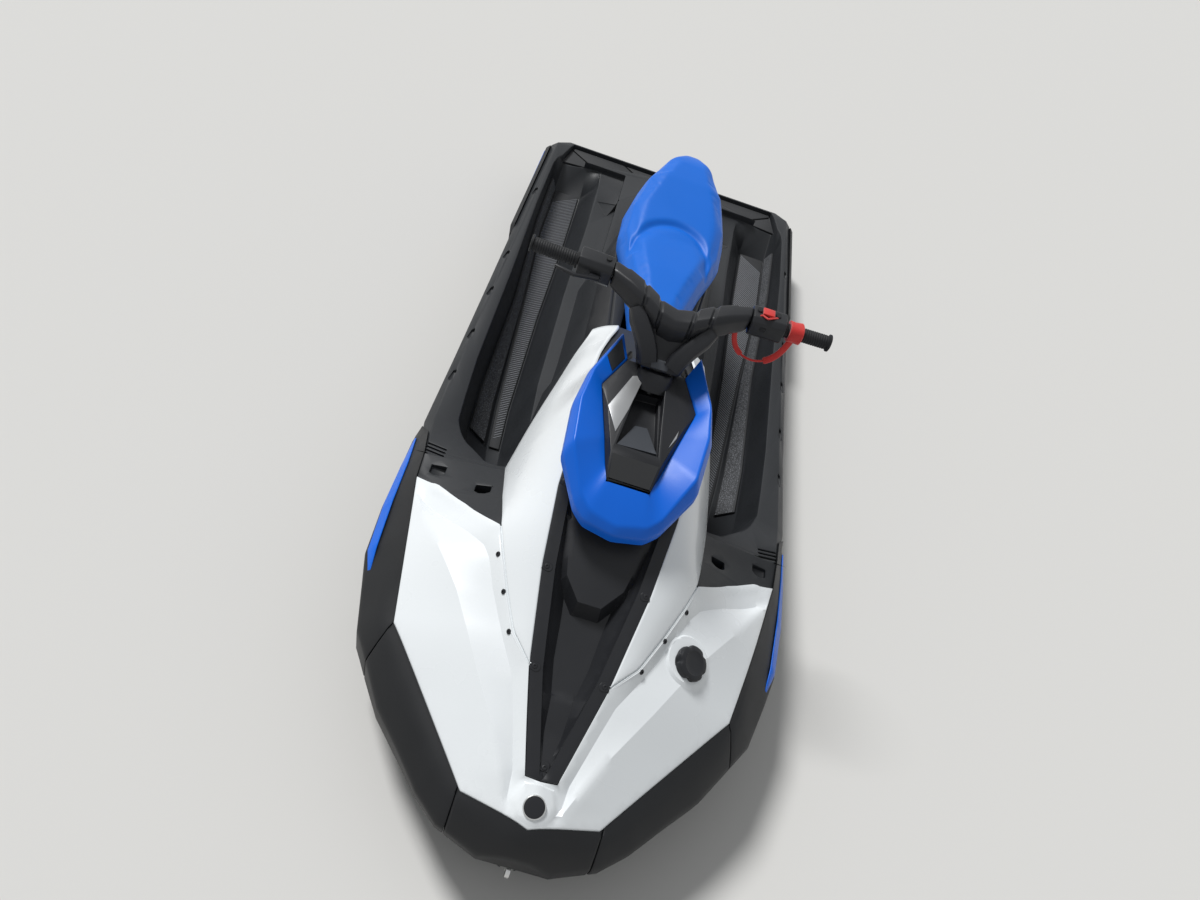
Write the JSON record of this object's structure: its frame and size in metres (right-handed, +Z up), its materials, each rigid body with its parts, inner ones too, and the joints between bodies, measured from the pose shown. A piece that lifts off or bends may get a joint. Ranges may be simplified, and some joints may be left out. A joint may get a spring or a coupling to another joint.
{
  "type": "personal watercraft",
  "caption": "Sit-down personal watercraft with a V hull, jet pump, footwells, padded seat, console and handlebar.",
  "frame": {"origin": "amidships on the plane of symmetry, at the height of the waterline", "axes": "+X forward to the bow, +Y to port, +Z up"},
  "size_m": [3.0287, 1.138, 1.2394],
  "materials": {
    "hull_plastic": "satin moulded plastic",
    "deck_plastic": "satin moulded plastic",
    "white_gelcoat": "gloss",
    "bumper_rubber": "satin moulded bumper",
    "stainless": "brushed",
    "blue_plastic": "satin",
    "dark_trim": "satin",
    "display_glass": "polished",
    "cast_engine": "cast",
    "red_band": "satin",
    "grip_rubber": "moulded",
    "bar_metal": "powder coat",
    "cast_aluminium": "cast, anodised",
    "red_cord": "coiled cord",
    "mat_rubber": "foam mat",
    "blue_vinyl": "marine vinyl"
  },
  "bodies": {
    "craft": {"bow_bumper_center": "bumper_rubber", "bow_bumper_port": "bumper_rubber", "bow_bumper_starboard": "bumper_rubber", "bow_eye": "stainless", "collar": "blue_plastic", "console": "dark_trim", "deck": "deck_plastic", "display": "display_glass", "engine": "cast_engine", "footwell_mat_port": "mat_rubber", "footwell_mat_starboard": "mat_rubber", "front_deck": "white_gelcoat", "fuel_cap": "dark_trim", "hood_cover": "deck_plastic", "hull": "hull_plastic", "intake_grate": "cast_aluminium", "pedestal": "deck_plastic", "pedestal_panels": "dark_trim", "platform_mat": "mat_rubber", "pump_housing": "cast_aluminium", "ride_plate": "cast_aluminium", "side_bumper_front_port": "bumper_rubber", "side_bumper_front_starboard": "bumper_rubber", "side_bumper_rear_port": "bumper_rubber", "side_bumper_rear_starboard": "bumper_rubber", "side_cowl_port": "white_gelcoat", "side_cowl_starboard": "white_gelcoat", "stern_eyes": "stainless", "stripe_front_port": "blue_plastic", "stripe_front_starboard": "blue_plastic", "stripe_rear_port": "blue_plastic", "stripe_rear_starboard": "blue_plastic"},
    "steering": {"steering_stem": "dark_trim", "handlebar": "bar_metal", "handlebar_pad": "dark_trim", "grips": "grip_rubber", "switch_housings": "dark_trim", "throttle_lever": "dark_trim", "grip_wrap": "red_band", "stop_switch_clip": "red_band", "lanyard": "red_cord"},
    "nozzle": {"steering_nozzle": "dark_trim"},
    "bucket": {"reverse_bucket": "dark_trim"},
    "impeller": {"impeller": "stainless"},
    "seat": {"seat": "blue_vinyl"}
  },
  "joints": [
    {"name": "steering", "type": "hinge", "parent": "craft", "child": "steering", "pos_m": [0.5, 0, 0.77], "axis": [-0.4657, 0, 0.8849], "range_deg": [-24, 24]},
    {"name": "nozzle_turn", "type": "hinge", "parent": "craft", "child": "nozzle", "pos_m": [-1.392, 0, -0.092], "axis": [0, 0, 1], "range_deg": [-20, 20]},
    {"name": "bucket_swing", "type": "hinge", "parent": "craft", "child": "bucket", "pos_m": [-1.345, 0, -0.075], "axis": [0, -1, 0], "range_deg": [0, 50]},
    {"name": "impeller_spin", "type": "hinge", "parent": "craft", "child": "impeller", "pos_m": [-1.18, 0, -0.092], "axis": [1, 0, 0], "continuous": true},
    {"name": "seat_lift", "type": "slide", "parent": "craft", "child": "seat", "axis": [-0.5, 0, 0.866], "range_m": [0, 0.16]}
  ],
  "couplings": [
    {"joint": "nozzle_turn", "follows": "steering", "ratio": -0.83}
  ]
}
